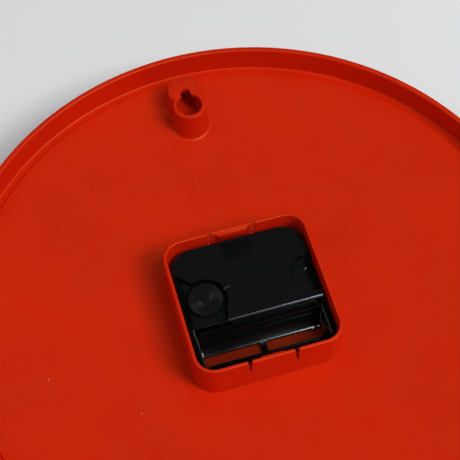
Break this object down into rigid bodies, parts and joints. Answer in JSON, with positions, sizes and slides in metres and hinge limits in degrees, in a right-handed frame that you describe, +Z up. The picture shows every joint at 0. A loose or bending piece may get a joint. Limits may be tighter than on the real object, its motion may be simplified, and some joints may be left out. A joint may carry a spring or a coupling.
{
  "type": "wall clock",
  "caption": "Round wall clock with a dished plastic case, keyhole hanger and a snap-in quartz movement whose hands, setting knob and gear train turn.",
  "frame": {"origin": "on the axis of the hands, halfway between the bezel's front and the case's rear edge", "axes": "+Z up to 12 o'clock, +Y back to the wall, so the dial looks along -Y; +X to the right for someone who looks at the dial"},
  "size_m": [0.25, 0.0404, 0.25],
  "materials": {
    "red_plastic": "satin moulded",
    "black_plastic": "satin moulded",
    "clear_lens": "clear polished",
    "dial_card": "matt printed",
    "natural_plastic": "moulded acetal",
    "brass": "turned",
    "steel": "nickel plated",
    "magnet": "sintered",
    "copper_wire": "enamelled copper winding",
    "board": "solder mask",
    "hand_black": "painted black",
    "hand_red": "painted red"
  },
  "bodies": {
    "housing": {"case": "red_plastic", "bezel": "red_plastic", "lens": "clear_lens", "dial": "dial_card", "movement_base": "black_plastic", "movement_cover": "black_plastic", "train_plate": "black_plastic", "battery_contact_positive": "steel", "battery_contact_negative": "steel", "circuit_board": "board", "quartz_crystal": "steel", "coil_bobbin": "black_plastic", "coil_winding": "copper_wire", "stator": "steel"},
    "minute": {"cannon_pinion": "brass", "minute_hand": "hand_black"},
    "hour": {"hour_wheel": "natural_plastic", "hour_hand": "hand_black"},
    "reverse": {"reverse_wheel": "natural_plastic"},
    "knob": {"setting_knob": "black_plastic"},
    "seconds": {"second_wheel": "natural_plastic", "second_hand": "hand_red"},
    "rotor": {"rotor_magnet": "magnet", "rotor_pinion": "natural_plastic"},
    "fifth": {"fifth_wheel": "natural_plastic"},
    "third": {"third_wheel": "natural_plastic"},
    "centre": {"centre_wheel": "brass"}
  },
  "joints": [
    {"name": "minute_turn", "type": "hinge", "parent": "housing", "child": "minute", "pos_m": [0, 0, 0], "axis": [0, 1, 0], "continuous": true},
    {"name": "hour_turn", "type": "hinge", "parent": "housing", "child": "hour", "pos_m": [0, 0, 0], "axis": [0, 1, 0], "continuous": true},
    {"name": "reverse_turn", "type": "hinge", "parent": "housing", "child": "reverse", "pos_m": [0.008, 0, 0.00412], "axis": [0, 1, 0], "continuous": true},
    {"name": "knob_turn", "type": "hinge", "parent": "housing", "child": "knob", "pos_m": [0.0185, 0, 0.0039], "axis": [0, 1, 0], "continuous": true},
    {"name": "second_turn", "type": "hinge", "parent": "housing", "child": "seconds", "pos_m": [0, 0, 0], "axis": [0, 1, 0], "continuous": true},
    {"name": "rotor_turn", "type": "hinge", "parent": "housing", "child": "rotor", "pos_m": [-0.0128, 0, 0.00669], "axis": [0, 1, 0], "continuous": true},
    {"name": "fifth_turn", "type": "hinge", "parent": "housing", "child": "fifth", "pos_m": [-0.00835, 0, 0.00224], "axis": [0, 1, 0], "continuous": true},
    {"name": "third_turn", "type": "hinge", "parent": "housing", "child": "third", "pos_m": [-0.0015, 0, 0.00851], "axis": [0, 1, 0], "continuous": true},
    {"name": "centre_turn", "type": "hinge", "parent": "housing", "child": "centre", "pos_m": [0, 0, 0], "axis": [0, 1, 0], "continuous": true}
  ],
  "couplings": [
    {"joint": "hour_turn", "follows": "minute_turn", "ratio": 0.083333},
    {"joint": "reverse_turn", "follows": "minute_turn", "ratio": -0.33333},
    {"joint": "knob_turn", "follows": "minute_turn", "ratio": 0.6},
    {"joint": "rotor_turn", "follows": "second_turn", "ratio": 30},
    {"joint": "fifth_turn", "follows": "second_turn", "ratio": -5},
    {"joint": "third_turn", "follows": "second_turn", "ratio": -0.13333},
    {"joint": "centre_turn", "follows": "second_turn", "ratio": 0.016667}
  ]
}
